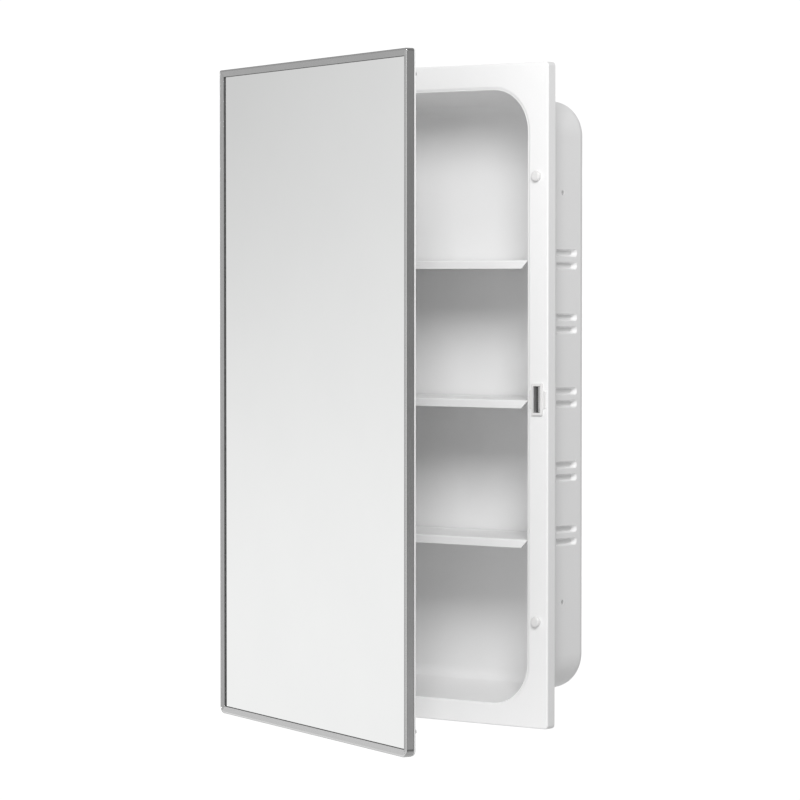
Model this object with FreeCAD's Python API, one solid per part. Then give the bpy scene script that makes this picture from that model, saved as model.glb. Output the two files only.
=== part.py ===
import FreeCAD, Part
import math
import os

# Recessed medicine cabinet with a mirrored, stainless-framed door. Millimetres, +Z up, front faces -Y.
# The origin is on the rear face of the back panel, midway between the walls and level with the
# middle shelf's slots and the catch.

V = FreeCAD.Vector

# --- cabinet body: one deep-drawn steel pressing ---
SHEET = 0.9                  # sheet thickness
TOTAL_DEPTH = 101.6          # front of the flange to the rear face
FLANGE_HALF_W = 195.25
FLANGE_HALF_H = 321.9
FLANGE_RAISE = 3.1           # the flange is a little taller above the middle slot than below it
FLANGE_CORNER = 4.0
RIM_DEPTH = 12.0             # the flange's turned-back rim rests on the wall
RIM_BEND = 1.5
OPEN_HALF_W = 170.4
OPEN_HALF_H = 298.2
OPEN_CORNER = 41.0
BACK_HALF_W = 169.6          # inside of the well, taken at the rear face
BACK_HALF_H = 288.8
BACK_CORNER = 34.0
WELL_RAISE = 1.3             # centre of the well above the middle slot
BACK_EDGE = 12.0             # outside radius from the walls into the back
LIP_BEND = 4.0               # visible radius from the flange into the well
NECK_T = 1.2                 # band doubled round the front of the well, behind the flange
NECK_DEPTH = 47.5
NECK_EDGE = 0.8
WELL_EDGE_BAND = 14.0        # edges of the opening lie within this of its half width

FRONT_Y = -TOTAL_DEPTH       # plane of the flange's front face

# --- shelf beads pressed into both side walls, in pairs with a slot between them ---
SHELF_PITCH = 135.5
SPARE_PITCH = 72.4
BEAD_LEVELS = (-SHELF_PITCH, -SPARE_PITCH, 0.0, SPARE_PITCH, SHELF_PITCH)
BEAD_OFFSET = 6.2            # bead centre above or below the slot centre
BEAD_HALF_H = 4.0
BEAD_FLOOR_HALF_H = 2.3
BEAD_DEPTH = 5.0
BEAD_START = 13.5            # behind the flange front
BEAD_END = 88.5
BEAD_START_SLOPE = 2.0
BEAD_END_SLOPE = 8.0

# --- fastening holes in the side walls ---
WALL_HOLE_R = 2.5
WALL_HOLE_DEPTH = 60.0
WALL_HOLE_Z = 200.7

# --- shelves ---
SHELF_T = 1.0
SHELF_HALF_W = 167.2
SHELF_DROP = 1.05            # top of the shelf below the slot centre: it rests on the lower beads
SHELF_SET_BACK = 5.0         # lip behind the flange front
SHELF_REAR_GAP = 3.0
SHELF_REAR_CORNER = 24.0
SHELF_LIP_H = 8.2
SHELF_HEM_T = 1.9
SHELF_HEM_H = 2.4
SHELF_BEND = 1.6

# --- door ---
DOOR_HALF_W = 203.2
DOOR_HALF_H = 330.2
DOOR_TOP_CORNER = 2.5
DOOR_BOTTOM_CORNER = 8.0
PAN_GAP = 4.4                # flange front to the rear of the door pan, when closed
HEM_T = 1.6
PAN_SHEET = 0.8
HEM_W = 12.0
PAN_INSET = 0.5
PAN_EDGE = 0.6
FRAME_DEPTH = 9.0
FRAME_FACE_W = 7.0
FACE_DROP = 1.5              # the face falls this far from its outer edge to the glass
FRAME_REAR_LIP_W = 6.0
FRAME_SHEET = 0.6
FRAME_BEND = 1.1
MITRE_GAP = 0.06
MIN_CORNER = 0.4
GLASS_T = 3.0
GLASS_CLEARANCE = 0.5
BOARD_T = 1.2
KEY_T = 2.0
KEY_W = 6.2
KEY_LEG = 42.0
KEY_CLEARANCE = 0.4
SCREW_R = 1.4
SCREW_HEAD_R = 2.8
SCREW_HEAD_H = 1.3
SCREW_EDGE = 4.0
SCREW_ALONG = 24.0
SCREW_HEAD_EDGE = 0.8
SCREW_SLOT_W = 0.8
SCREW_SLOT_REACH = 2.0
SCREW_SLOT_DEPTH = 0.7
DOOR_REST_ANGLE = 24.5       # how far the door stands open

PAN_REAR_Y = FRONT_Y - PAN_GAP
FRAME_REAR_Y = PAN_REAR_Y - HEM_T
DOOR_FRONT_Y = FRAME_REAR_Y - FRAME_DEPTH
GLASS_FRONT_Y = DOOR_FRONT_Y + FACE_DROP + FRAME_SHEET
BOARD_FRONT_Y = GLASS_FRONT_Y + GLASS_T

# --- continuous hinge ---
BARREL_R = 2.0
PIN_R = 1.0
PIN_CLEARANCE = 0.05
PIN_CHAMFER = 0.3
LEAF_T = 1.0
LEAF_W = 19.0
HINGE_X = -199.0
HINGE_Y = FRONT_Y - BARREL_R
HINGE_LENGTH = 600.0
KNUCKLES = 24
KNUCKLE_GAP = 0.4
LEAF_NOTCH = 0.6
RIVET_R = 1.5
RIVET_HEAD_R = 2.9
RIVET_HEAD_TOP_R = 1.6
RIVET_HEAD_H = 0.8
RIVET_TAIL_SPREAD = 0.8
RIVET_COUNT = 7
RIVET_SPAN = 540.0
RIVET_X = HINGE_X + 12.0
HOLE_PLAY = 0.1

# --- bumpers ---
BUMPER_X = 182.0
BUMPER_Z = 215.0
BUMPER_R = 5.0
BUMPER_H = 3.8
BUMPER_STEM_R = 2.2
BUMPER_HOLE_R = 2.4
BUMPER_BARB_R = 3.2
BUMPER_BARB_TIP_R = 1.6
BUMPER_BARB_LENGTH = 3.4
BUMPER_STEM_LENGTH = 4.5
BUMPER_DOME = 1.6
FIT_PLAY = 0.1               # barb and ramps stand this far behind the flange sheet

# --- magnetic catch and its strike ---
CATCH_X = 183.2
CATCH_W = 12.6
CATCH_H = 31.0
CATCH_PROUD = 2.0
CATCH_EAR_W = 19.4
CATCH_EAR_H = 18.6
CATCH_EAR_T = 0.9
CATCH_BODY_W = 10.8
CATCH_BODY_H = 28.8
CATCH_BODY_DEPTH = 13.0
CATCH_CAVITY_W = 8.4
CATCH_CAVITY_H = 25.6
CATCH_FLOOR = 1.4
CATCH_CORNER = 1.2
CATCH_EDGE = 0.6
CATCH_EAR_CORNER = 2.6
CATCH_EAR_EDGE = 0.5
CATCH_BODY_CORNER = 0.8
CATCH_CAVITY_CORNER = 0.5
RAMP_W = 6.0                 # snap ramps behind the flange, above and below the body
RAMP_H = 1.2
RAMP_LENGTH = 5.0
MAGNET_W = 5.4
MAGNET_H = 24.6
MAGNET_SET_BACK = 0.6        # magnet face behind the flange front
POLE_T = 1.2
POLE_PROUD = 2.5
POLE_CHAMFER = 0.4
STRIKE_W = 13.0
STRIKE_H = 34.0
STRIKE_T = 1.0
STRIKE_CORNER = 2.0
STRIKE_RIVET_Z = 12.0
STRIKE_RIVET_R = 1.6
STRIKE_TAIL_H = 0.7

PAST = 1.0                   # cutters run this far past what they cut


def box(x0, x1, y0, y1, z0, z1):
    """A box between two corners."""
    return Part.makeBox(x1 - x0, y1 - y0, z1 - z0, V(x0, y0, z0))


def rounded_wire(half_w, half_h, top_r, bottom_r, y, centre_x=0.0, centre_z=0.0):
    """A closed rectangle with rounded corners in the plane at y."""
    corners = ((1, 1, top_r), (-1, 1, top_r), (-1, -1, bottom_r), (1, -1, bottom_r))
    arcs = []
    for index, (sx, sz, radius) in enumerate(corners):
        cx = centre_x + sx * (half_w - radius)
        cz = centre_z + sz * (half_h - radius)
        start = math.radians(90 * index)
        points = []
        for step in (0, 45, 90):
            angle = start + math.radians(step)
            points.append(V(cx + radius * math.cos(angle), y, cz + radius * math.sin(angle)))
        arcs.append(points)
    edges = []
    for index, points in enumerate(arcs):
        following = arcs[(index + 1) % 4]
        edges.append(Part.Arc(*points).toShape())
        edges.append(Part.LineSegment(points[2], following[0]).toShape())
    return Part.Wire(edges)


def plate(half_w, half_h, top_r, bottom_r, y0, y1, centre_x=0.0, centre_z=0.0):
    """A rounded rectangular plate between the planes y0 and y1."""
    wire = rounded_wire(half_w, half_h, top_r, bottom_r, y0, centre_x, centre_z)
    return Part.Face(wire).extrude(V(0, y1 - y0, 0))


def rod(radius, start, end):
    """A cylinder from one point to another."""
    return Part.makeCylinder(radius, start.distanceToPoint(end), start, end - start)


def rod_y(radius, x, z, y0, y1):
    """A cylinder along Y between two planes."""
    return rod(radius, V(x, y0, z), V(x, y1, z))


def mirrored_x(shape):
    return shape.mirror(V(0, 0, 0), V(1, 0, 0))


def group(solids):
    """Separate solids kept together in one node."""
    return Part.makeCompound(list(solids))


def edges_in_plane(shape, y, half_w_limit=None):
    """The edges that lie wholly in the plane at y, optionally only those inside a half width."""
    found = []
    for edge in shape.Edges:
        bounds = edge.BoundBox
        reach = max(abs(bounds.XMin), abs(bounds.XMax))
        flat = abs(bounds.YMin - y) < 1e-3 and abs(bounds.YMax - y) < 1e-3
        inside = half_w_limit is None or reach < half_w_limit
        if flat and inside:
            found.append(edge)
    return found


# ---------------------------------------------------------------- cabinet body

def well_wire(grow, y):
    """The well's section at y, grown outwards by the sheet thickness when asked."""
    t = (y - FRONT_Y) / TOTAL_DEPTH
    half_w = OPEN_HALF_W + t * (BACK_HALF_W - OPEN_HALF_W) + grow
    half_h = OPEN_HALF_H + t * (BACK_HALF_H - OPEN_HALF_H) + grow
    radius = OPEN_CORNER + t * (BACK_CORNER - OPEN_CORNER) + grow
    return rounded_wire(half_w, half_h, radius, radius, y, 0.0, WELL_RAISE)


def well_solid(grow, y0, y1):
    """The drafted well as a solid, with its rear edge rounded."""
    solid = Part.makeLoft([well_wire(grow, y0), well_wire(grow, y1)], True, True)
    return solid.makeFillet(BACK_EDGE - SHEET + grow, edges_in_plane(solid, y1))


def stadium_wire(x, y0, y1, centre_z, half_h):
    """A slot outline in the plane at x."""
    front = y0 + half_h
    rear = y1 - half_h
    a = V(x, front, centre_z + half_h)
    b = V(x, rear, centre_z + half_h)
    c = V(x, rear, centre_z - half_h)
    d = V(x, front, centre_z - half_h)
    edges = [
        Part.LineSegment(a, b).toShape(),
        Part.Arc(b, V(x, y1, centre_z), c).toShape(),
        Part.LineSegment(c, d).toShape(),
        Part.Arc(d, V(x, y0, centre_z), a).toShape(),
    ]
    return Part.Wire(edges)


def bead(centre_z, grow, outer_x):
    """One bead of the right wall: sloping sides, and a floor shorter at its rear end."""
    y0 = FRONT_Y + BEAD_START
    y1 = FRONT_Y + BEAD_END
    floor_x = OPEN_HALF_W - BEAD_DEPTH + SHEET - grow
    slope = (BEAD_HALF_H - BEAD_FLOOR_HALF_H) / BEAD_DEPTH
    extra = slope * (outer_x - OPEN_HALF_W - SHEET)
    mouth = stadium_wire(outer_x, y0 - grow - extra, y1 + grow + extra, centre_z,
                         BEAD_HALF_H + grow + extra)
    floor = stadium_wire(floor_x, y0 + BEAD_START_SLOPE - grow, y1 - BEAD_END_SLOPE + grow, centre_z,
                         BEAD_FLOOR_HALF_H + grow)
    return Part.makeLoft([mouth, floor], True, True)


def all_beads(grow, outer_x):
    """Every bead of both walls as one compound."""
    right = []
    for level in BEAD_LEVELS:
        for side in (1, -1):
            right.append(bead(level + side * BEAD_OFFSET, grow, outer_x))
    return group(right + [mirrored_x(shape) for shape in right])


def rivet_levels():
    step = RIVET_SPAN / (RIVET_COUNT - 1)
    return [-RIVET_SPAN / 2 + index * step for index in range(RIVET_COUNT)]


def flange_plate(inset, y0, y1):
    """A plate with the flange's outline, drawn in by inset."""
    radius = FLANGE_CORNER - inset
    half_w = FLANGE_HALF_W - inset
    half_h = FLANGE_HALF_H - inset
    return plate(half_w, half_h, radius, radius, y0, y1, 0.0, FLANGE_RAISE)


def neck_band():
    """The band round the front of the well; it bridges the front ends of the beads."""
    y0 = FRONT_Y + SHEET
    y1 = FRONT_Y + NECK_DEPTH
    proud = SHEET + NECK_T
    overlap = SHEET / 2
    outer = Part.makeLoft([well_wire(proud, y0), well_wire(proud, y1)], True, True)
    outer = outer.makeFillet(NECK_EDGE, edges_in_plane(outer, y1))
    inner = Part.makeLoft([well_wire(overlap, y0 - PAST), well_wire(overlap, y1 + PAST)], True, True)
    return outer.cut(inner)


def cabinet_body():
    """Flange, turned rim, drafted well, beads, neck and holes in one pressing."""
    rim_y = FRONT_Y + RIM_DEPTH
    near_opening = OPEN_HALF_W + WELL_EDGE_BAND
    tray = flange_plate(0.0, FRONT_Y, rim_y)
    tray = tray.makeFillet(RIM_BEND, edges_in_plane(tray, FRONT_Y))
    tray = tray.cut(flange_plate(SHEET, FRONT_Y + SHEET, rim_y + PAST))
    skin = tray.fuse(well_solid(SHEET, FRONT_Y, 0.0)).removeSplitter()
    root_edges = edges_in_plane(skin, FRONT_Y + SHEET, near_opening)
    skin = skin.makeFillet(LIP_BEND - SHEET, root_edges)
    skin = skin.cut(all_beads(0.0, OPEN_HALF_W + 6 * PAST))
    cavity = well_solid(0.0, FRONT_Y - PAST, -SHEET).cut(all_beads(SHEET, OPEN_HALF_W + 3 * PAST))
    skin = skin.cut(cavity)
    skin = skin.makeFillet(LIP_BEND, edges_in_plane(skin, FRONT_Y, near_opening))
    skin = skin.fuse(neck_band())
    return skin.cut(group(body_holes())).removeSplitter()


def body_holes():
    """Cutters for the wall screws, bumpers, catch and hinge rivets."""
    cutters = []
    hole_y = FRONT_Y + WALL_HOLE_DEPTH
    front = FRONT_Y - PAST
    rear = FRONT_Y + SHEET + PAST
    for side in (1, -1):
        level = side * WALL_HOLE_Z
        reach = OPEN_HALF_W + 3 * PAST
        cutters.append(rod(WALL_HOLE_R, V(-reach, hole_y, level), V(reach, hole_y, level)))
        cutters.append(rod_y(BUMPER_HOLE_R, BUMPER_X, side * BUMPER_Z, front, rear))
    slot_w = CATCH_BODY_W / 2 + HOLE_PLAY
    slot_h = CATCH_BODY_H / 2 + HOLE_PLAY
    slot_r = CATCH_BODY_CORNER + HOLE_PLAY
    cutters.append(plate(slot_w, slot_h, slot_r, slot_r, front, rear, CATCH_X))
    for level in rivet_levels():
        cutters.append(rod_y(RIVET_R + HOLE_PLAY, RIVET_X, level, front, rear))
    return cutters


# ---------------------------------------------------------------- shelves

def long_edges(shape, y, z):
    """The edges that run most of a shelf's width along the line at y and z."""
    return [edge for edge in edges_in_plane(shape, y)
            if abs(edge.BoundBox.ZMin - z) < 1e-6 and edge.BoundBox.XLength > SHELF_HALF_W]


def shelf(level):
    """A pressed shelf: flat top, mitred front lip with a hem, and a turned-down rear edge."""
    top = level - SHELF_DROP
    front = FRONT_Y + SHELF_SET_BACK
    rear = -SHEET - SHELF_REAR_GAP
    deck = box(-SHELF_HALF_W, SHELF_HALF_W, front, rear, top - SHELF_T, top)
    rear_posts = [edge for edge in edges_in_plane(deck, rear) if edge.BoundBox.ZLength > SHELF_T / 2]
    deck = deck.makeFillet(SHELF_REAR_CORNER, rear_posts)
    lip = lip_outline(front, top, SHELF_T)
    foot = top - SHELF_LIP_H
    hem_band = box(-SHELF_HALF_W, SHELF_HALF_W, front, front + SHELF_HEM_T, foot, foot + SHELF_HEM_H)
    hem = lip_outline(front, top, SHELF_HEM_T).common(hem_band)
    rear_w = SHELF_HALF_W - SHELF_REAR_CORNER
    rear_lip = box(-rear_w, rear_w, rear - SHELF_T, rear, foot, top)
    shape = deck.fuse([lip, hem, rear_lip]).removeSplitter()
    shape = shape.makeFillet(SHELF_BEND, long_edges(shape, front, top))
    return shape.makeFillet(SHELF_BEND - SHELF_T, long_edges(shape, front + SHELF_T, top - SHELF_T))


def lip_outline(front, top, thickness):
    """The turned-down lip with both ends cut at 45 degrees."""
    reach = SHELF_HALF_W
    foot = reach - (SHELF_LIP_H - SHELF_T)
    points = [
        V(-reach, front, top),
        V(reach, front, top),
        V(reach, front, top - SHELF_T),
        V(foot, front, top - SHELF_LIP_H),
        V(-foot, front, top - SHELF_LIP_H),
        V(-reach, front, top - SHELF_T),
    ]
    return Part.Face(Part.makePolygon(points + points[:1])).extrude(V(0, thickness, 0))


# ---------------------------------------------------------------- fittings on the flange

def bumper(level):
    """A soft push-in bumper: domed button, stem and barb."""
    face = FRONT_Y - BUMPER_H
    button = rod_y(BUMPER_R, BUMPER_X, level, face, FRONT_Y)
    button = button.makeFillet(BUMPER_DOME, edges_in_plane(button, face))
    stem = rod_y(BUMPER_STEM_R, BUMPER_X, level, FRONT_Y, FRONT_Y + BUMPER_STEM_LENGTH)
    root = V(BUMPER_X, FRONT_Y + SHEET + FIT_PLAY, level)
    barb = Part.makeCone(BUMPER_BARB_R, BUMPER_BARB_TIP_R, BUMPER_BARB_LENGTH, root, V(0, 1, 0))
    return button.fuse([stem, barb])


def catch_plate(width, height, corner, y0, y1):
    """A rounded plate centred on the catch."""
    return plate(width / 2, height / 2, corner, corner, y0, y1, CATCH_X)


def catch_housing():
    """The moulded catch body: bezel, two side ears, a hollow body and snap ramps."""
    front = FRONT_Y - CATCH_PROUD
    ear_front = FRONT_Y - CATCH_EAR_T
    rear = FRONT_Y + CATCH_BODY_DEPTH
    bezel = catch_plate(CATCH_W, CATCH_H, CATCH_CORNER, front, FRONT_Y)
    bezel = bezel.makeFillet(CATCH_EDGE, edges_in_plane(bezel, front))
    ears = catch_plate(CATCH_EAR_W, CATCH_EAR_H, CATCH_EAR_CORNER, ear_front, FRONT_Y)
    ears = ears.makeFillet(CATCH_EAR_EDGE, edges_in_plane(ears, ear_front))
    barrel = catch_plate(CATCH_BODY_W, CATCH_BODY_H, CATCH_BODY_CORNER, FRONT_Y, rear)
    shape = bezel.fuse([ears, barrel])
    shape = shape.cut(catch_plate(CATCH_CAVITY_W, CATCH_CAVITY_H, CATCH_CAVITY_CORNER, front - PAST,
                                  rear - CATCH_FLOOR))
    ramps = []
    ramp_y = FRONT_Y + SHEET + FIT_PLAY
    x0 = CATCH_X - RAMP_W / 2
    for side in (1, -1):
        z0 = side * CATCH_BODY_H / 2
        outline = [V(x0, ramp_y, z0), V(x0, ramp_y, z0 + side * RAMP_H), V(x0, ramp_y + RAMP_LENGTH, z0)]
        ramps.append(Part.Face(Part.makePolygon(outline + outline[:1])).extrude(V(RAMP_W, 0, 0)))
    return shape.fuse(ramps)


def catch_magnet():
    rear = FRONT_Y + CATCH_BODY_DEPTH - CATCH_FLOOR
    half_w = MAGNET_W / 2
    half_h = MAGNET_H / 2
    return box(CATCH_X - half_w, CATCH_X + half_w, FRONT_Y + MAGNET_SET_BACK, rear, -half_h, half_h)


def catch_pole_plates():
    """Two steel plates, one each side of the magnet, that reach forward to the strike."""
    rear = FRONT_Y + CATCH_BODY_DEPTH - CATCH_FLOOR
    half_h = MAGNET_H / 2
    plates = []
    for x0 in (CATCH_X - MAGNET_W / 2 - POLE_T, CATCH_X + MAGNET_W / 2):
        solid = box(x0, x0 + POLE_T, FRONT_Y - POLE_PROUD, rear, -half_h, half_h)
        tip_edges = edges_in_plane(solid, FRONT_Y - POLE_PROUD)
        corners = [edge for edge in tip_edges if edge.BoundBox.XLength > POLE_T / 2]
        plates.append(solid.makeChamfer(POLE_CHAMFER, corners))
    return group(plates)


# ---------------------------------------------------------------- hinge

def knuckle_spans(parity):
    """Lower and upper end of every knuckle that belongs to one leaf."""
    pitch = HINGE_LENGTH / KNUCKLES
    spans = []
    for index in range(parity, KNUCKLES, 2):
        low = -HINGE_LENGTH / 2 + index * pitch
        spans.append((low + KNUCKLE_GAP / 2, low + pitch - KNUCKLE_GAP / 2))
    return spans


def hinge_leaf(parity, plate_y0):
    """A hinge leaf: flat plate, its own knuckles, and notches for the other leaf's knuckles."""
    half = HINGE_LENGTH / 2
    end = half - KNUCKLE_GAP / 2
    shape = box(HINGE_X, HINGE_X + LEAF_W, plate_y0, plate_y0 + LEAF_T, -end, end)
    notch_x = HINGE_X + BARREL_R + LEAF_NOTCH
    reach = 2 * BARREL_R
    notches = []
    for low, high in knuckle_spans(1 - parity):
        low -= KNUCKLE_GAP
        high += KNUCKLE_GAP
        notches.append(box(HINGE_X - reach, notch_x, HINGE_Y - reach, HINGE_Y + reach, low, high))
    shape = shape.cut(group(notches))
    barrels = []
    for low, high in knuckle_spans(parity):
        barrels.append(rod(BARREL_R, V(HINGE_X, HINGE_Y, low), V(HINGE_X, HINGE_Y, high)))
    shape = shape.fuse(barrels)
    bore = rod(PIN_R + PIN_CLEARANCE, V(HINGE_X, HINGE_Y, -half - PAST), V(HINGE_X, HINGE_Y, half + PAST))
    holes = []
    for level in rivet_levels():
        holes.append(rod_y(RIVET_R + HOLE_PLAY, RIVET_X, level, plate_y0 - PAST, plate_y0 + LEAF_T + PAST))
    return shape.cut(group([bore] + holes)).removeSplitter()


def hinge_pin():
    half = HINGE_LENGTH / 2 - KNUCKLE_GAP / 2
    pin = rod(PIN_R, V(HINGE_X, HINGE_Y, -half), V(HINGE_X, HINGE_Y, half))
    return pin.makeChamfer(PIN_CHAMFER, [edge for edge in pin.Edges if edge.BoundBox.ZLength < 1e-6])


def rivets(head_y, tail_y):
    """Hinge rivets, each with a low domed head at head_y and a flat set tail at tail_y."""
    out = 1 if head_y > tail_y else -1
    tail_r = RIVET_R + RIVET_TAIL_SPREAD
    solids = []
    for level in rivet_levels():
        shank = rod_y(RIVET_R, RIVET_X, level, tail_y, head_y)
        seat = V(RIVET_X, head_y, level)
        foot = V(RIVET_X, tail_y, level)
        head = Part.makeCone(RIVET_HEAD_R, RIVET_HEAD_TOP_R, RIVET_HEAD_H, seat, V(0, out, 0))
        tail = Part.makeCone(tail_r, RIVET_R, RIVET_HEAD_H, foot, V(0, -out, 0))
        solids.append(shank.fuse([head, tail]))
    return group(solids)


# ---------------------------------------------------------------- door, built closed

def door_plate(inset, y0, y1):
    """A plate with the door's outline, drawn in by inset."""
    top_r = max(DOOR_TOP_CORNER - inset, MIN_CORNER)
    bottom_r = max(DOOR_BOTTOM_CORNER - inset, MIN_CORNER)
    return plate(DOOR_HALF_W - inset, DOOR_HALF_H - inset, top_r, bottom_r, y0, y1)


def screw_points():
    """Two screws beside every corner, one on each member, as (x, z)."""
    points = []
    for sx in (1, -1):
        for sz in (1, -1):
            points.append((sx * (DOOR_HALF_W - SCREW_EDGE), sz * (DOOR_HALF_H - SCREW_ALONG)))
            points.append((sx * (DOOR_HALF_W - SCREW_ALONG), sz * (DOOR_HALF_H - SCREW_EDGE)))
    return points


def screw_bores():
    reach = FRAME_REAR_Y - FRAME_SHEET - KEY_T - PAST
    return group(rod_y(SCREW_R + HOLE_PLAY, x, z, reach, PAN_REAR_Y + PAST) for x, z in screw_points())


def dish(shift):
    """The shallow hollow in front of the frame's sloping face, moved back by shift."""
    wires = []
    for inset in (-PAST, FRAME_FACE_W + PAST):
        y = DOOR_FRONT_Y + FACE_DROP * inset / FRAME_FACE_W + shift
        top_r = max(DOOR_TOP_CORNER - inset, MIN_CORNER)
        bottom_r = max(DOOR_BOTTOM_CORNER - inset, MIN_CORNER)
        wires.append(rounded_wire(DOOR_HALF_W - inset, DOOR_HALF_H - inset, top_r, bottom_r, y))
    return Part.makeLoft(wires, True, True)


def frame_ring():
    """The whole stainless channel: sloping face, outer wall and rear lip, open to the glass."""
    ring = door_plate(0.0, DOOR_FRONT_Y, FRAME_REAR_Y)
    outer_edges = edges_in_plane(ring, DOOR_FRONT_Y) + edges_in_plane(ring, FRAME_REAR_Y)
    ring = ring.makeFillet(FRAME_BEND, outer_edges)
    ring = ring.cut(dish(0.0))
    hollow = door_plate(FRAME_SHEET, DOOR_FRONT_Y - PAST, FRAME_REAR_Y - FRAME_SHEET)
    ring = ring.cut(hollow.cut(dish(FRAME_SHEET)))
    ring = ring.cut(door_plate(FRAME_FACE_W, DOOR_FRONT_Y - PAST, GLASS_FRONT_Y + PAST))
    ring = ring.cut(door_plate(FRAME_REAR_LIP_W, FRAME_REAR_Y - PAST, FRAME_REAR_Y + PAST))
    return ring.cut(screw_bores())


def mitre_wedge(side):
    """The part of space that one member of the frame fills, bounded by 45 degree mitres."""
    margin = 5 * PAST
    reach = 2 * FRAME_FACE_W
    out_w = DOOR_HALF_W + margin
    out_h = DOOR_HALF_H + margin
    in_w = DOOR_HALF_W - reach
    in_h = DOOR_HALF_H - reach
    y0 = DOOR_FRONT_Y - margin
    if side in ("top", "bottom"):
        sign = 1 if side == "top" else -1
        corners = [(-out_w, sign * out_h), (out_w, sign * out_h), (in_w, sign * in_h), (-in_w, sign * in_h)]
        shift = V(0, 0, sign * MITRE_GAP)
    else:
        sign = 1 if side == "right" else -1
        corners = [(sign * out_w, out_h), (sign * out_w, -out_h), (sign * in_w, -in_h), (sign * in_w, in_h)]
        shift = V(sign * MITRE_GAP, 0, 0)
    points = [V(x, y0, z) for x, z in corners]
    wedge = Part.Face(Part.makePolygon(points + points[:1])).extrude(V(0, FRAME_DEPTH + 2 * margin, 0))
    wedge.translate(shift)
    return wedge


def mirror_glass():
    return door_plate(FRAME_SHEET + GLASS_CLEARANCE, GLASS_FRONT_Y, BOARD_FRONT_Y)


def backing_board():
    return door_plate(FRAME_SHEET + GLASS_CLEARANCE, BOARD_FRONT_Y, BOARD_FRONT_Y + BOARD_T)


def door_back_pan():
    """The painted steel door back: one sheet with its border folded over into a hem."""
    pan = door_plate(PAN_INSET, FRAME_REAR_Y, PAN_REAR_Y)
    pan = pan.makeFillet(PAN_EDGE, edges_in_plane(pan, PAN_REAR_Y))
    pan = pan.cut(door_plate(HEM_W, FRAME_REAR_Y - PAST, PAN_REAR_Y - PAN_SHEET))
    holes = [screw_bores()]
    front = FRAME_REAR_Y - PAST
    rear = PAN_REAR_Y + PAST
    for level in rivet_levels():
        holes.append(rod_y(RIVET_R + HOLE_PLAY, RIVET_X, level, front, rear))
    for side in (1, -1):
        holes.append(rod_y(STRIKE_RIVET_R + HOLE_PLAY, CATCH_X, side * STRIKE_RIVET_Z, front, rear))
    for hole in holes:
        pan = pan.cut(hole)
    return pan


def corner_keys():
    """Four flat L-shaped keys that lock the mitred members together inside the channel."""
    y1 = FRAME_REAR_Y - FRAME_SHEET
    outer = FRAME_SHEET + KEY_CLEARANCE
    ring = door_plate(outer, y1 - KEY_T, y1).cut(door_plate(outer + KEY_W, y1 - KEY_T - PAST, y1 + PAST))
    ring = ring.cut(screw_bores())
    keys = []
    for sx in (1, -1):
        for sz in (1, -1):
            x0, x1 = sorted((sx * DOOR_HALF_W, sx * (DOOR_HALF_W - KEY_LEG)))
            z0, z1 = sorted((sz * DOOR_HALF_H, sz * (DOOR_HALF_H - KEY_LEG)))
            keys.append(ring.common(box(x0, x1, y1 - KEY_T - PAST, y1 + PAST, z0, z1)))
    return group(keys)


def corner_screws():
    """Low pan-head screws through the door back and the channel into the keys."""
    tip_y = FRAME_REAR_Y - FRAME_SHEET - KEY_T
    top_y = PAN_REAR_Y + SCREW_HEAD_H
    slot_y = top_y - SCREW_SLOT_DEPTH
    thin = SCREW_SLOT_W / 2
    solids = []
    for x, z in screw_points():
        shank = rod_y(SCREW_R, x, z, tip_y, PAN_REAR_Y)
        head = rod_y(SCREW_HEAD_R, x, z, PAN_REAR_Y, top_y)
        head = head.makeFillet(SCREW_HEAD_EDGE, edges_in_plane(head, top_y))
        slot = box(x - thin, x + thin, slot_y, top_y + PAST, z - SCREW_SLOT_REACH, z + SCREW_SLOT_REACH)
        cross = box(x - SCREW_SLOT_REACH, x + SCREW_SLOT_REACH, slot_y, top_y + PAST, z - thin, z + thin)
        solids.append(shank.fuse(head).cut(slot.fuse(cross)))
    return group(solids)


def strike_plate():
    rear = PAN_REAR_Y + STRIKE_T
    strike = catch_plate(STRIKE_W, STRIKE_H, STRIKE_CORNER, PAN_REAR_Y, rear)
    for side in (1, -1):
        level = side * STRIKE_RIVET_Z
        hole_r = STRIKE_RIVET_R + HOLE_PLAY
        strike = strike.cut(rod_y(hole_r, CATCH_X, level, PAN_REAR_Y - PAST, rear + PAST))
    return strike


def strike_rivets():
    """Two flush rivets through the strike, with their tails behind the door back."""
    solids = []
    tail_y = PAN_REAR_Y - PAN_SHEET
    tail_r = STRIKE_RIVET_R + RIVET_TAIL_SPREAD
    for side in (1, -1):
        level = side * STRIKE_RIVET_Z
        shank = rod_y(STRIKE_RIVET_R, CATCH_X, level, tail_y, PAN_REAR_Y + STRIKE_T)
        centre = V(CATCH_X, tail_y, level)
        tail = Part.makeCone(tail_r, STRIKE_RIVET_R, STRIKE_TAIL_H, centre, V(0, -1, 0))
        solids.append(shank.fuse(tail))
    return group(solids)


def opened(shape):
    """Swing a door part from closed to where the door stands at rest."""
    turned = shape.copy()
    turned.rotate(V(HINGE_X, HINGE_Y, 0), V(0, 0, -1), DOOR_REST_ANGLE)
    return turned


# ---------------------------------------------------------------- the assembly

def root_parts():
    return {
        "cabinet_body": cabinet_body(),
        "bumper_upper": bumper(BUMPER_Z),
        "bumper_lower": bumper(-BUMPER_Z),
        "catch_housing": catch_housing(),
        "catch_magnet": catch_magnet(),
        "catch_pole_plates": catch_pole_plates(),
        "hinge_leaf_cabinet": hinge_leaf(0, FRONT_Y - LEAF_T),
        "hinge_rivets_cabinet": rivets(FRONT_Y - LEAF_T, FRONT_Y + SHEET),
        "hinge_pin": hinge_pin(),
    }


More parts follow.
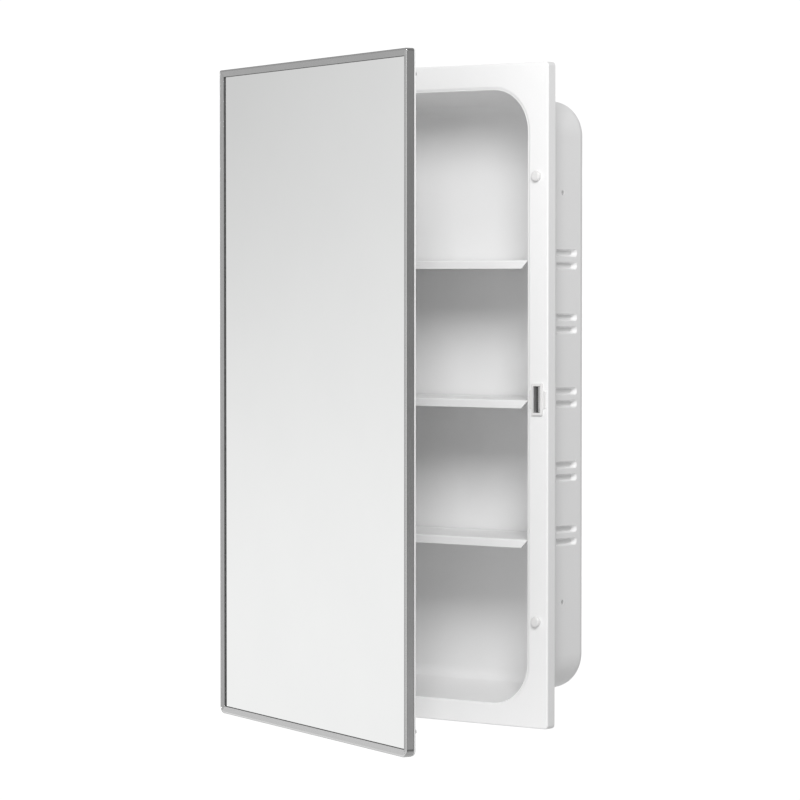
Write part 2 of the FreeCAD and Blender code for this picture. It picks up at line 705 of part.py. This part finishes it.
def door_parts():
    ring = frame_ring()
    parts = {"frame_" + side: ring.common(mitre_wedge(side)) for side in ("top", "bottom", "left", "right")}
    parts["mirror_glass"] = mirror_glass()
    parts["backing_board"] = backing_board()
    parts["door_back_pan"] = door_back_pan()
    parts["corner_keys"] = corner_keys()
    parts["corner_screws"] = corner_screws()
    parts["hinge_leaf_door"] = hinge_leaf(1, PAN_REAR_Y)
    parts["hinge_rivets_door"] = rivets(PAN_REAR_Y + LEAF_T, PAN_REAR_Y - PAN_SHEET)
    parts["strike_plate"] = strike_plate()
    parts["strike_rivets"] = strike_rivets()
    return {name: opened(shape) for name, shape in parts.items()}


def shelf_parts():
    levels = {"shelf_upper": SHELF_PITCH, "shelf_middle": 0.0, "shelf_lower": -SHELF_PITCH}
    return {name: shelf(level) for name, level in levels.items()}


def main():
    os.makedirs("parts", exist_ok=True)
    parts = root_parts()
    parts.update(door_parts())
    parts.update(shelf_parts())
    for name, shape in parts.items():
        shape.exportStep(os.path.join("parts", name + ".step"))
        print(name, len(shape.Solids), "valid" if shape.isValid() else "INVALID", round(shape.Volume))


main()
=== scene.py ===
import math

import bmesh
import bpy
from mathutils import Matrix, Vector


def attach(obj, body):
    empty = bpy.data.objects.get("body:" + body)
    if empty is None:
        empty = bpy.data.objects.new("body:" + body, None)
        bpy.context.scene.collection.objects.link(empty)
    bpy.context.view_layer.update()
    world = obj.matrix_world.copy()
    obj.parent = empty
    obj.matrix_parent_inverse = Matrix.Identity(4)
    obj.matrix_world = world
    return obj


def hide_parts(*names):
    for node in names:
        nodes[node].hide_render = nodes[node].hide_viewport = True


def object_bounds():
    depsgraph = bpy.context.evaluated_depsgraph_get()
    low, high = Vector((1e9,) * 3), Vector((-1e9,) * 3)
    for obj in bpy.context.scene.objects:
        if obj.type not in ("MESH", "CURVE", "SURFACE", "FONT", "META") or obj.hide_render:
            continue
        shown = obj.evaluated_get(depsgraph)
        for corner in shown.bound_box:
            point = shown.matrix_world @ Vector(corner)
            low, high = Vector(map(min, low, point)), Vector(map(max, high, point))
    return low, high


# Looks of a recessed medicine cabinet with a mirrored, stainless-framed door.
# Metres, +Z up, front faces -Y.

# --- the door as it stands at rest ---
DOOR_ANGLE = math.radians(24.5)
DOOR_ALONG = Vector((math.cos(DOOR_ANGLE), -math.sin(DOOR_ANGLE), 0.0))
DOOR_OUTWARD = Vector((-math.sin(DOOR_ANGLE), -math.cos(DOOR_ANGLE), 0.0))
SILVER_DEPTH = 0.00076       # how far below the front of the glass its silvering appears
SHADE_STRIP_OUTSIDE = 0.0048        # the dark strip of painted shade along the frame's inner edge runs from here to the inner limit below, in from the edge of the glass
SHADE_STRIP_STEP = 0.00592          # past here it is clear of the frame and covers its cut edge
SHADE_STRIP_INSIDE = 0.00625
SHADE_STRIP_CREST = 0.00050         # height above the glass at SHADE_STRIP_STEP
SHADE_STRIP_SHOULDER = 0.00025      # height above the glass at SHADE_STRIP_INSIDE
SHADE_STRIP_PLAY = 0.00002          # gap under the frame

# --- materials: grey levels, roughnesses, and noise scales in waves per metre ---
GRAIN_STRETCH = 0.012        # how much the steel's grain is drawn out along a member
GRAIN_SCALE = 2600.0
ROLLED_SCALE = 1800.0        # coarser grain, on the hinge and the catch's pole plates
TOP_STEEL = 0.40             # one steel in three base greys, darkest on the top member and palest on the bottom: painted reflection, for the darker and lighter surroundings each member mirrors
SIDE_STEEL = 0.60
BOTTOM_STEEL = 0.74
HINGE_STEEL = 0.5
POLE_STEEL = 0.92
HOUSING_WHITE = 0.82
BUMPER_WHITE = 0.80
POLISHED_ROUGHNESS = (0.16, 0.24)
HINGE_ROUGHNESS = (0.3, 0.42)
POLE_ROUGHNESS = (0.42, 0.55)
HOUSING_ROUGHNESS = 0.38
BUMPER_ROUGHNESS = 0.30
NOISE_LOW = 0.3              # nearly all of a noise's values lie between these
NOISE_HIGH = 0.7

# --- camera ---
CAMERA_AZIMUTH = math.radians(37.67)
CAMERA_ELEVATION = math.radians(1.734)
CAMERA_DISTANCE = 3.584
CAMERA_TARGET = Vector((0.0, -0.1016, 0.003))
LENS = 162.0
SENSOR = 36.0
SHIFT_X = 0.0159
SHIFT_Y = -0.0089

# --- floor and key light ---
FLOOR_DROP = 0.85            # the cabinet hangs this far above the floor
FLOOR_RADIUS = 2.1
FLOOR_FADE_START = 0.75      # from here out the floor fades into the background
FLOOR_FADE_END = 1.9
FLOOR_RINGS = 12
FLOOR_SPOKES = 96
KEY_PLACE = (1.0, -1.2, 0.87)
KEY_AIM = (0.0, -0.05, 0.0)
KEY_SIZE = 0.55
KEY_POWER = 18.0

# --- surroundings. A pair is two values of one component of the direction looked in, from -1 to 1:
# the piece is absent at the first and full at the second ---
BACKDROP_LEVEL = 1.05        # what the camera sees behind the cabinet
ROOM_BELOW = 0.55
ROOM_ABOVE = 0.52
DIM_SIDE_X = (0.35, 0.97)    # the room dims towards the right, down to DIM_SIDE_LEVEL of itself
DIM_SIDE_LEVEL = 0.25
LOW_LIFT_Z = (-0.15, -0.7)   # and the part of it kept rises by LOW_LIFT low down, on every side
LOW_LIFT = 0.30
BOARD_Y = (-0.35, -0.8)      # white board low in front
BOARD_Z = (0.25, -0.05)
BOARD_LIFT = 0.95
RIGHT_CARD_X = (0.93, 0.985)
RIGHT_CARD_Z = (0.24, 0.14)  # above and below alike
RIGHT_CARD_LEVEL = 0.25      # at its middle, with the two rises below away from it
RIGHT_RISE_ABOVE_Z = (0.03, 0.07)
RIGHT_RISE_ABOVE = 0.20
RIGHT_RISE_BELOW_Z = (-0.085, -0.12)
RIGHT_RISE_BELOW = 0.50
LEFT_CARD_X = (-0.95, -0.985)
LEFT_CARD_Z = (-0.20, -0.14)
LEFT_LOW_Z = (0.085, -0.10)  # the card's level turns from its upper to its lower one over this
LEFT_LOW_LEVEL = 0.93
LEFT_UPPER_Y = (-0.064, -0.013)
LEFT_UPPER_LEVELS = (0.735, 0.625)


# ---------------------------------------------------------------- node helpers

def add(tree, kind, **settings):
    node = tree.nodes.new(kind)
    for key, value in settings.items():
        setattr(node, key, value)
    return node


def link(tree, source, target):
    tree.links.new(source, target)


def feed(tree, socket, value):
    """Sets a socket from a number, a colour or another socket."""
    if isinstance(value, bpy.types.NodeSocket):
        tree.links.new(value, socket)
    else:
        socket.default_value = value


def object_coords(tree, stretch=(1.0, 1.0, 1.0), turn=0.0):
    """Coordinates in metres, turned about Z and then stretched along their own axes."""
    coords = add(tree, "ShaderNodeTexCoord").outputs["Object"]
    if turn:
        turned = add(tree, "ShaderNodeMapping", vector_type="POINT")
        turned.inputs["Rotation"].default_value = (0.0, 0.0, turn)
        link(tree, coords, turned.inputs["Vector"])
        coords = turned.outputs["Vector"]
    scaled = add(tree, "ShaderNodeMapping", vector_type="POINT")
    scaled.inputs["Scale"].default_value = stretch
    link(tree, coords, scaled.inputs["Vector"])
    return scaled.outputs["Vector"]


def noise(tree, coords, scale, detail=2.0, roughness=0.5):
    node = add(tree, "ShaderNodeTexNoise")
    node.inputs["Scale"].default_value = scale
    node.inputs["Detail"].default_value = detail
    node.inputs["Roughness"].default_value = roughness
    link(tree, coords, node.inputs["Vector"])
    return node.outputs["Fac"]


def remap(tree, value, low, high, to_low, to_high, smooth=False):
    """Turns the range low..high into to_low..to_high; low may be the larger."""
    node = add(tree, "ShaderNodeMapRange", clamp=True)
    node.interpolation_type = "SMOOTHSTEP" if smooth else "LINEAR"
    link(tree, value, node.inputs["Value"])
    for name, number in zip(("From Min", "From Max", "To Min", "To Max"), (low, high, to_low, to_high)):
        node.inputs[name].default_value = number
    return node.outputs["Result"]


def spread(tree, value, low, high):
    """Lays a noise over low..high."""
    return remap(tree, value, NOISE_LOW, NOISE_HIGH, low, high)


def ramp(tree, value, ends):
    """0 up to the first of the two ends and 1 from the second on, smooth between."""
    return remap(tree, value, ends[0], ends[1], 0.0, 1.0, True)


def math_node(tree, operation, first, second=0.0):
    node = add(tree, "ShaderNodeMath", operation=operation)
    feed(tree, node.inputs[0], first)
    feed(tree, node.inputs[1], second)
    return node.outputs["Value"]


def total(tree, first, second):
    return math_node(tree, "ADD", first, second)


def product(tree, first, second):
    return math_node(tree, "MULTIPLY", first, second)


def mix(tree, data_type, share, first, second):
    node = add(tree, "ShaderNodeMix", data_type=data_type)
    feed(tree, node.inputs["Factor"], share)
    feed(tree, node.inputs["A"], first)
    feed(tree, node.inputs["B"], second)
    return node.outputs["Result"]


def mix_level(tree, share, first, second):
    return mix(tree, "FLOAT", share, first, second)


def mix_colour(tree, share, first, second):
    return mix(tree, "RGBA", share, first, second)


def bump(tree, height, strength, distance, under=None):
    node = add(tree, "ShaderNodeBump")
    node.inputs["Strength"].default_value = strength
    node.inputs["Distance"].default_value = distance
    link(tree, height, node.inputs["Height"])
    if under is not None:
        link(tree, under, node.inputs["Normal"])
    return node.outputs["Normal"]


def grey(level, warmth=0.0):
    return (level * (1.0 + warmth), level, level * (1.0 - warmth), 1.0)


def new_material(name):
    material = bpy.data.materials.new(name)
    material.use_nodes = True
    tree = material.node_tree
    shader = tree.nodes["Principled BSDF"]
    return material, tree, shader


# ---------------------------------------------------------------- materials

def white_enamel():
    """Baked white enamel on pressed steel: satin, with a fine orange peel."""
    material, tree, shader = new_material("white_enamel_baked")
    coords = object_coords(tree)
    peel = noise(tree, coords, scale=380.0, detail=2.0, roughness=0.45)
    pressing = noise(tree, coords, scale=14.0, detail=2.0)
    cloud = noise(tree, coords, scale=7.0, detail=3.0)
    colour = mix_colour(tree, spread(tree, cloud, 0.0, 1.0), grey(0.94), grey(0.92))
    link(tree, colour, shader.inputs["Base Color"])
    rough = total(tree, spread(tree, peel, -0.03, 0.03), spread(tree, cloud, 0.34, 0.4))
    link(tree, rough, shader.inputs["Roughness"])
    wave = bump(tree, pressing, strength=0.12, distance=0.002)
    link(tree, bump(tree, peel, strength=0.10, distance=0.0003, under=wave), shader.inputs["Normal"])
    return material


def brushed_steel(name, level, scale, stretch, turn=0.0, roughness=POLISHED_ROUGHNESS):
    """Stainless sheet polished along its length, so fine lines run that way."""
    material, tree, shader = new_material(name)
    coords = object_coords(tree, stretch, turn)
    grain = noise(tree, coords, scale=scale, detail=3.0, roughness=0.6)
    plain = object_coords(tree)
    cloud = noise(tree, plain, scale=18.0, detail=3.0)
    smear = noise(tree, plain, scale=140.0, detail=2.0)
    line = remap(tree, grain, 0.35, 0.65, 0.0, 1.0)
    tone = mix_colour(tree, line, grey(level * 0.97), grey(level * 1.03))
    link(tree, tone, shader.inputs["Base Color"])
    shader.inputs["Metallic"].default_value = 1.0
    worn = spread(tree, cloud, -0.02, 0.03)
    rough = total(tree, spread(tree, grain, *roughness), worn)
    link(tree, rough, shader.inputs["Roughness"])
    waves = bump(tree, smear, strength=0.03, distance=0.0004)
    link(tree, bump(tree, grain, strength=0.05, distance=0.00005, under=waves), shader.inputs["Normal"])
    return material


def mirror():
    """Silvered plate glass, with the faintest haze left by wiping."""
    material, tree, shader = new_material("silvered_mirror")
    coords = object_coords(tree)
    haze = noise(tree, coords, scale=9.0, detail=4.0, roughness=0.6)
    clear = (0.93, 0.935, 0.93, 1.0)
    hazed = (0.915, 0.92, 0.916, 1.0)
    tone = mix_colour(tree, spread(tree, haze, 0.0, 1.0), clear, hazed)
    link(tree, tone, shader.inputs["Base Color"])
    shader.inputs["Metallic"].default_value = 1.0
    link(tree, spread(tree, haze, 0.012, 0.03), shader.inputs["Roughness"])
    return material


def moulded_plastic(name, level, roughness):
    """Injection-moulded plastic with a fine matt texture and a little light let in."""
    material, tree, shader = new_material(name)
    coords = object_coords(tree)
    texture = noise(tree, coords, scale=2600.0, detail=2.0, roughness=0.6)
    cloud = noise(tree, coords, scale=120.0, detail=2.0)
    patches = spread(tree, cloud, 0.0, 1.0)
    colour = mix_colour(tree, patches, grey(level, 0.004), grey(level * 0.97, 0.008))
    link(tree, colour, shader.inputs["Base Color"])
    link(tree, spread(tree, texture, roughness, roughness + 0.12), shader.inputs["Roughness"])
    shader.inputs["Subsurface Weight"].default_value = 0.12
    shader.inputs["Subsurface Scale"].default_value = 0.002
    shader.inputs["Subsurface Radius"].default_value = (1.0, 1.0, 1.0)
    link(tree, bump(tree, texture, strength=0.15, distance=0.00008), shader.inputs["Normal"])
    return material


def ferrite():
    """Sintered magnet: dark, dull and grainy."""
    material, tree, shader = new_material("ferrite_sintered")
    coords = object_coords(tree)
    grains = noise(tree, coords, scale=2200.0, detail=4.0, roughness=0.7)
    colour = mix_colour(tree, remap(tree, grains, 0.35, 0.7, 0.0, 1.0), grey(0.035), grey(0.085))
    link(tree, colour, shader.inputs["Base Color"])
    link(tree, spread(tree, grains, 0.5, 0.7), shader.inputs["Roughness"])
    link(tree, bump(tree, grains, strength=0.4, distance=0.0001), shader.inputs["Normal"])
    return material


def zinc_plate():
    """Zinc-plated steel with faint crystals in the plating."""
    material, tree, shader = new_material("zinc_plated_steel")
    coords = object_coords(tree)
    cells = add(tree, "ShaderNodeTexVoronoi", feature="F1")
    cells.inputs["Scale"].default_value = 650.0
    link(tree, coords, cells.inputs["Vector"])
    spangle = add(tree, "ShaderNodeSeparateColor")
    link(tree, cells.outputs["Color"], spangle.inputs["Color"])
    fine = noise(tree, coords, scale=1400.0, detail=2.0)
    colour = mix_colour(tree, spangle.outputs["Red"], grey(0.52), grey(0.64, -0.01))
    link(tree, colour, shader.inputs["Base Color"])
    shader.inputs["Metallic"].default_value = 1.0
    crystals = remap(tree, spangle.outputs["Green"], 0.0, 1.0, 0.24, 0.36)
    rough = total(tree, crystals, spread(tree, fine, -0.03, 0.05))
    link(tree, rough, shader.inputs["Roughness"])
    link(tree, bump(tree, fine, strength=0.08, distance=0.00006), shader.inputs["Normal"])
    return material


def backing_board():
    """Pressed fibreboard behind the glass."""
    material, tree, shader = new_material("fibreboard")
    coords = object_coords(tree, (1.0, 1.0, 3.0))
    fibres = noise(tree, coords, scale=500.0, detail=5.0, roughness=0.7)
    cloud = noise(tree, coords, scale=30.0, detail=3.0)
    dark = (0.20, 0.13, 0.075, 1.0)
    pale = (0.33, 0.235, 0.145, 1.0)
    pressed = (0.24, 0.17, 0.1, 1.0)
    colour = mix_colour(tree, fibres, dark, pale)
    colour = mix_colour(tree, spread(tree, cloud, 0.0, 0.4), colour, pressed)
    link(tree, colour, shader.inputs["Base Color"])
    link(tree, spread(tree, fibres, 0.75, 0.92), shader.inputs["Roughness"])
    link(tree, bump(tree, fibres, strength=0.3, distance=0.0003), shader.inputs["Normal"])
    return material


def painted_shade_finish():
    """A dull, nearly black finish with a blotchy tone, for the strip of painted shade along the frame's
    inner edge.
    """
    material, tree, shader = new_material("painted_shade_finish")
    coords = object_coords(tree)
    bloom = noise(tree, coords, scale=260.0, detail=4.0, roughness=0.6)
    fine = noise(tree, coords, scale=3000.0, detail=2.0)
    colour = mix_colour(tree, spread(tree, bloom, 0.0, 1.0), grey(0.035), grey(0.07))
    link(tree, colour, shader.inputs["Base Color"])
    link(tree, spread(tree, fine, 0.6, 0.8), shader.inputs["Roughness"])
    link(tree, bump(tree, fine, strength=0.2, distance=0.00006), shader.inputs["Normal"])
    return material


# ---------------------------------------------------------------- studio

def floor_material():
    """Pale matt floor, clear towards its rim so that no edge shows."""
    material, tree, shader = new_material("studio_floor")
    coords = object_coords(tree)
    tone = noise(tree, coords, scale=3.0, detail=3.0)
    link(tree, mix_colour(tree, tone, grey(0.72), grey(0.69)), shader.inputs["Base Color"])
    shader.inputs["Roughness"].default_value = 0.85
    shader.inputs["Specular IOR Level"].default_value = 0.1
    length = add(tree, "ShaderNodeVectorMath", operation="LENGTH")
    flat = add(tree, "ShaderNodeMapping", vector_type="POINT")
    flat.inputs["Scale"].default_value = (1.0, 1.0, 0.0)
    link(tree, add(tree, "ShaderNodeTexCoord").outputs["Object"], flat.inputs["Vector"])
    link(tree, flat.outputs["Vector"], length.inputs[0])
    fade = ramp(tree, length.outputs["Value"], (FLOOR_FADE_START, FLOOR_FADE_END))
    clear = add(tree, "ShaderNodeBsdfTransparent")
    both = add(tree, "ShaderNodeMixShader")
    link(tree, fade, both.inputs["Fac"])
    link(tree, shader.outputs["BSDF"], both.inputs[1])
    link(tree, clear.outputs["BSDF"], both.inputs[2])
    link(tree, both.outputs["Shader"], tree.nodes["Material Output"].inputs["Surface"])
    return material


def show(mesh, name, finish):
    """Puts a mesh in the scene as one object with one finish."""
    mesh.materials.clear()
    mesh.materials.append(finish)
    piece = bpy.data.objects.new(name, mesh)
    bpy.context.scene.collection.objects.link(piece)
    return piece


def make_floor(level):
    """A round floor of rings of faces about the origin."""
    verts = [(0.0, 0.0, level)]
    for ring in range(1, FLOOR_RINGS + 1):
        radius = FLOOR_RADIUS * ring / FLOOR_RINGS
        for spoke in range(FLOOR_SPOKES):
            angle = 2.0 * math.pi * spoke / FLOOR_SPOKES
            verts.append((radius * math.cos(angle), radius * math.sin(angle), level))
    faces = [(0, 1 + s, 1 + (s + 1) % FLOOR_SPOKES) for s in range(FLOOR_SPOKES)]
    for ring in range(FLOOR_RINGS - 1):
        inner = 1 + ring * FLOOR_SPOKES
        outer = inner + FLOOR_SPOKES
        for s in range(FLOOR_SPOKES):
            t = (s + 1) % FLOOR_SPOKES
            faces.append((inner + s, outer + s, outer + t, inner + t))
    mesh = bpy.data.meshes.new("floor")
    mesh.from_pydata(verts, [], faces)
    show(mesh, "floor", floor_material())


def key_light():
    """A soft box above, in front and to the right. Its light falls off with distance, not with its
    square, so it is more even from top to bottom, as that of a larger lamp further off would be."""
    data = bpy.data.lights.new("key", "AREA")
    data.shape = "RECTANGLE"
    data.size = KEY_SIZE
    data.size_y = KEY_SIZE
    data.energy = KEY_POWER
    lamp = bpy.data.objects.new("key", data)
    bpy.context.scene.collection.objects.link(lamp)
    lamp.location = KEY_PLACE
    lamp.visible_camera = False
    reach = Vector(KEY_AIM) - Vector(KEY_PLACE)
    lamp.rotation_euler = reach.to_track_quat("-Z", "Y").to_euler()
    data.use_nodes = True
    tree = data.node_tree
    falloff = add(tree, "ShaderNodeLightFalloff")
    falloff.inputs["Strength"].default_value = 1.0 / reach.length
    link(tree, falloff.outputs["Linear"], tree.nodes["Emission"].inputs["Strength"])


def studio_world():
    """What surrounds the cabinet: a room with a board and two cards, and a plain backdrop."""
    world = bpy.data.worlds.new("studio")
    bpy.context.scene.world = world
    world.use_nodes = True
    tree = world.node_tree
    way = add(tree, "ShaderNodeSeparateXYZ")
    link(tree, add(tree, "ShaderNodeTexCoord").outputs["Generated"], way.inputs["Vector"])
    x, y, z = (way.outputs[axis] for axis in "XYZ")
    # the room: nearly even from top to bottom, dim on the right, lifted low down
    room = remap(tree, z, -1.0, 1.0, ROOM_BELOW, ROOM_ABOVE)
    side = remap(tree, x, *DIM_SIDE_X, 1.0, DIM_SIDE_LEVEL, True)
    lift = remap(tree, z, *LOW_LIFT_Z, 0.0, LOW_LIFT, True)
    room = product(tree, room, total(tree, side, lift))
    # a white board low in front, which lights the shaded parts of the bays
    board = product(tree, ramp(tree, y, BOARD_Y), ramp(tree, z, BOARD_Z))
    room = product(tree, room, total(tree, product(tree, board, BOARD_LIFT), 1.0))
    # a grey card on the right, which the side of the door shows
    height = math_node(tree, "ABSOLUTE", z)
    right = product(tree, ramp(tree, x, RIGHT_CARD_X), ramp(tree, height, RIGHT_CARD_Z))
    above = remap(tree, z, *RIGHT_RISE_ABOVE_Z, 0.0, RIGHT_RISE_ABOVE, True)
    below = remap(tree, z, *RIGHT_RISE_BELOW_Z, 0.0, RIGHT_RISE_BELOW, True)
    right_level = total(tree, total(tree, above, below), RIGHT_CARD_LEVEL)
    # a card on the left, which the mirror shows: graded across its upper part, even below
    left = product(tree, ramp(tree, x, LEFT_CARD_X), ramp(tree, z, LEFT_CARD_Z))
    upper = remap(tree, y, *LEFT_UPPER_Y, *LEFT_UPPER_LEVELS)
    left_level = mix_level(tree, ramp(tree, z, LEFT_LOW_Z), upper, LEFT_LOW_LEVEL)
    around = mix_level(tree, right, room, right_level)
    around = mix_level(tree, left, around, left_level)
    # only the camera sees the backdrop; light and reflections come from what is around
    direct = add(tree, "ShaderNodeLightPath").outputs["Is Camera Ray"]
    background = tree.nodes["Background"]
    background.inputs["Color"].default_value = (1.0, 1.0, 1.0, 1.0)
    link(tree, mix_level(tree, direct, around, BACKDROP_LEVEL), background.inputs["Strength"])


def make_camera():
    """A long lens from the right, a little above the middle of the cabinet."""
    data = bpy.data.cameras.new("camera")
    camera = bpy.data.objects.new("camera", data)
    bpy.context.scene.collection.objects.link(camera)
    a, e = CAMERA_AZIMUTH, CAMERA_ELEVATION
    back = Vector((math.sin(a) * math.cos(e), -math.cos(a) * math.cos(e), math.sin(e)))
    camera.location = CAMERA_TARGET + back * CAMERA_DISTANCE
    camera.rotation_euler = (-back).to_track_quat("-Z", "Y").to_euler()
    data.sensor_width = SENSOR
    data.lens = LENS
    data.shift_x = SHIFT_X
    data.shift_y = SHIFT_Y
    bpy.context.scene.camera = camera


# ---------------------------------------------------------------- pieces of the door

def silvered_pane(glass, finish):
    """The pane with its reflecting surface where it shows: below the clear front of the glass."""
    mesh = glass.data.copy()
    mesh.name = "mirror_silvered"
    reach = [vertex.co.dot(DOOR_OUTWARD) for vertex in mesh.vertices]
    middle = (max(reach) + min(reach)) / 2.0
    for vertex, distance in zip(mesh.vertices, reach):
        if distance > middle:
            vertex.co -= DOOR_OUTWARD * SILVER_DEPTH
    pane = show(mesh, "mirror_silvered", finish)
    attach(pane, "door")
    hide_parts("mirror_glass")


def painted_shade_strip(glass, finish):
    """A dark strip on the mirror under the frame's inner edge all the way round: painted shade, for the
    shadow line there.
    """
    points = [vertex.co for vertex in glass.data.vertices]
    across = [point.dot(DOOR_ALONG) for point in points]
    top = max(point.z for point in points)
    front = max(point.dot(DOOR_OUTWARD) for point in points)
    middle = (max(across) + min(across)) / 2.0
    half_w = (max(across) - min(across)) / 2.0
    # its section, as distances in from the edge of the glass and down from its front
    section = (
        (SHADE_STRIP_OUTSIDE, SILVER_DEPTH),
        (SHADE_STRIP_OUTSIDE, SHADE_STRIP_PLAY),
        (SHADE_STRIP_STEP, SHADE_STRIP_PLAY),
        (SHADE_STRIP_STEP, -SHADE_STRIP_CREST),
        (SHADE_STRIP_INSIDE, -SHADE_STRIP_SHOULDER),
        (SHADE_STRIP_INSIDE, SILVER_DEPTH),
    )
    verts = []
    for inset, depth in section:
        w = half_w - inset
        h = top - inset
        for a, b in ((-w, -h), (w, -h), (w, h), (-w, h)):
            verts.append(DOOR_ALONG * (middle + a) + DOOR_OUTWARD * (front - depth) + Vector((0.0, 0.0, b)))
    faces = []
    for ring in range(len(section)):
        start = 4 * ring
        end = 4 * ((ring + 1) % len(section))
        for k in range(4):
            n = (k + 1) % 4
            faces.append((start + k, start + n, end + n, end + k))
    mesh = bpy.data.meshes.new("painted_shade_strip")
    mesh.from_pydata(verts, [], faces)
    shaped = bmesh.new()
    shaped.from_mesh(mesh)
    bmesh.ops.recalc_face_normals(shaped, faces=shaped.faces)
    shaped.to_mesh(mesh)
    shaped.free()
    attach(show(mesh, "painted_shade_strip", finish), "door")


# ---------------------------------------------------------------- the scene

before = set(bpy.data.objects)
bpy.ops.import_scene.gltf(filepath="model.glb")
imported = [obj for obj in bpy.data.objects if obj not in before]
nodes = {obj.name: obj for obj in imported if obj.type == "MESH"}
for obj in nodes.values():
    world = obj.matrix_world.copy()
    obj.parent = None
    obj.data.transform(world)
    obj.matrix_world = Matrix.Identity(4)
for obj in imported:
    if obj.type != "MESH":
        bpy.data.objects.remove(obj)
cad_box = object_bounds()

level_grain = dict(stretch=(GRAIN_STRETCH, 1.0, 1.0), turn=DOOR_ANGLE)
upright_grain = dict(stretch=(1.0, 1.0, GRAIN_STRETCH))
stainless_side = brushed_steel("stainless_upright", SIDE_STEEL, GRAIN_SCALE, **upright_grain)

# nodes with a finish of their own
# the top, upright and bottom members share one stainless in three greys, darker on top and paler below:
# painted reflection
MEMBERS = {
    "frame_top": brushed_steel("stainless_top", TOP_STEEL, GRAIN_SCALE, **level_grain),
    "frame_bottom": brushed_steel("stainless_bottom", BOTTOM_STEEL, GRAIN_SCALE, **level_grain),
    "frame_left": stainless_side,
    "frame_right": stainless_side,
    "catch_pole_plates": brushed_steel(
        "pole_steel_bright", POLE_STEEL, ROLLED_SCALE, roughness=POLE_ROUGHNESS, **upright_grain),
}

# and the finish of every other node, by its material slot
FINISHES = {
    "white_enamel": white_enamel(),
    "mirror": mirror(),
    "white_plastic": moulded_plastic("white_plastic_moulded", HOUSING_WHITE, HOUSING_ROUGHNESS),
    "bumper_plastic": moulded_plastic("bumper_plastic_soft", BUMPER_WHITE, BUMPER_ROUGHNESS),
    "ferrite": ferrite(),
    "plated_steel": zinc_plate(),
    "hinge_steel": brushed_steel(
        "hinge_steel_rolled", HINGE_STEEL, ROLLED_SCALE, roughness=HINGE_ROUGHNESS, **upright_grain),
    "board": backing_board(),
}

for name, obj in nodes.items():
    slot = obj.data.materials[0].name.split(".")[0]
    finish = MEMBERS.get(name) or FINISHES[slot]
    obj.material_slots[0].link = "OBJECT"
    obj.material_slots[0].material = finish

silvered_pane(nodes["mirror_glass"], FINISHES["mirror"])
# a dark strip of painted shade under the frame's inner edge, on the mirror
painted_shade_strip(nodes["mirror_glass"], painted_shade_finish())

make_floor(cad_box[0].z - FLOOR_DROP)
studio_world()
key_light()
make_camera()
bpy.context.scene.view_settings.view_transform = "Standard"
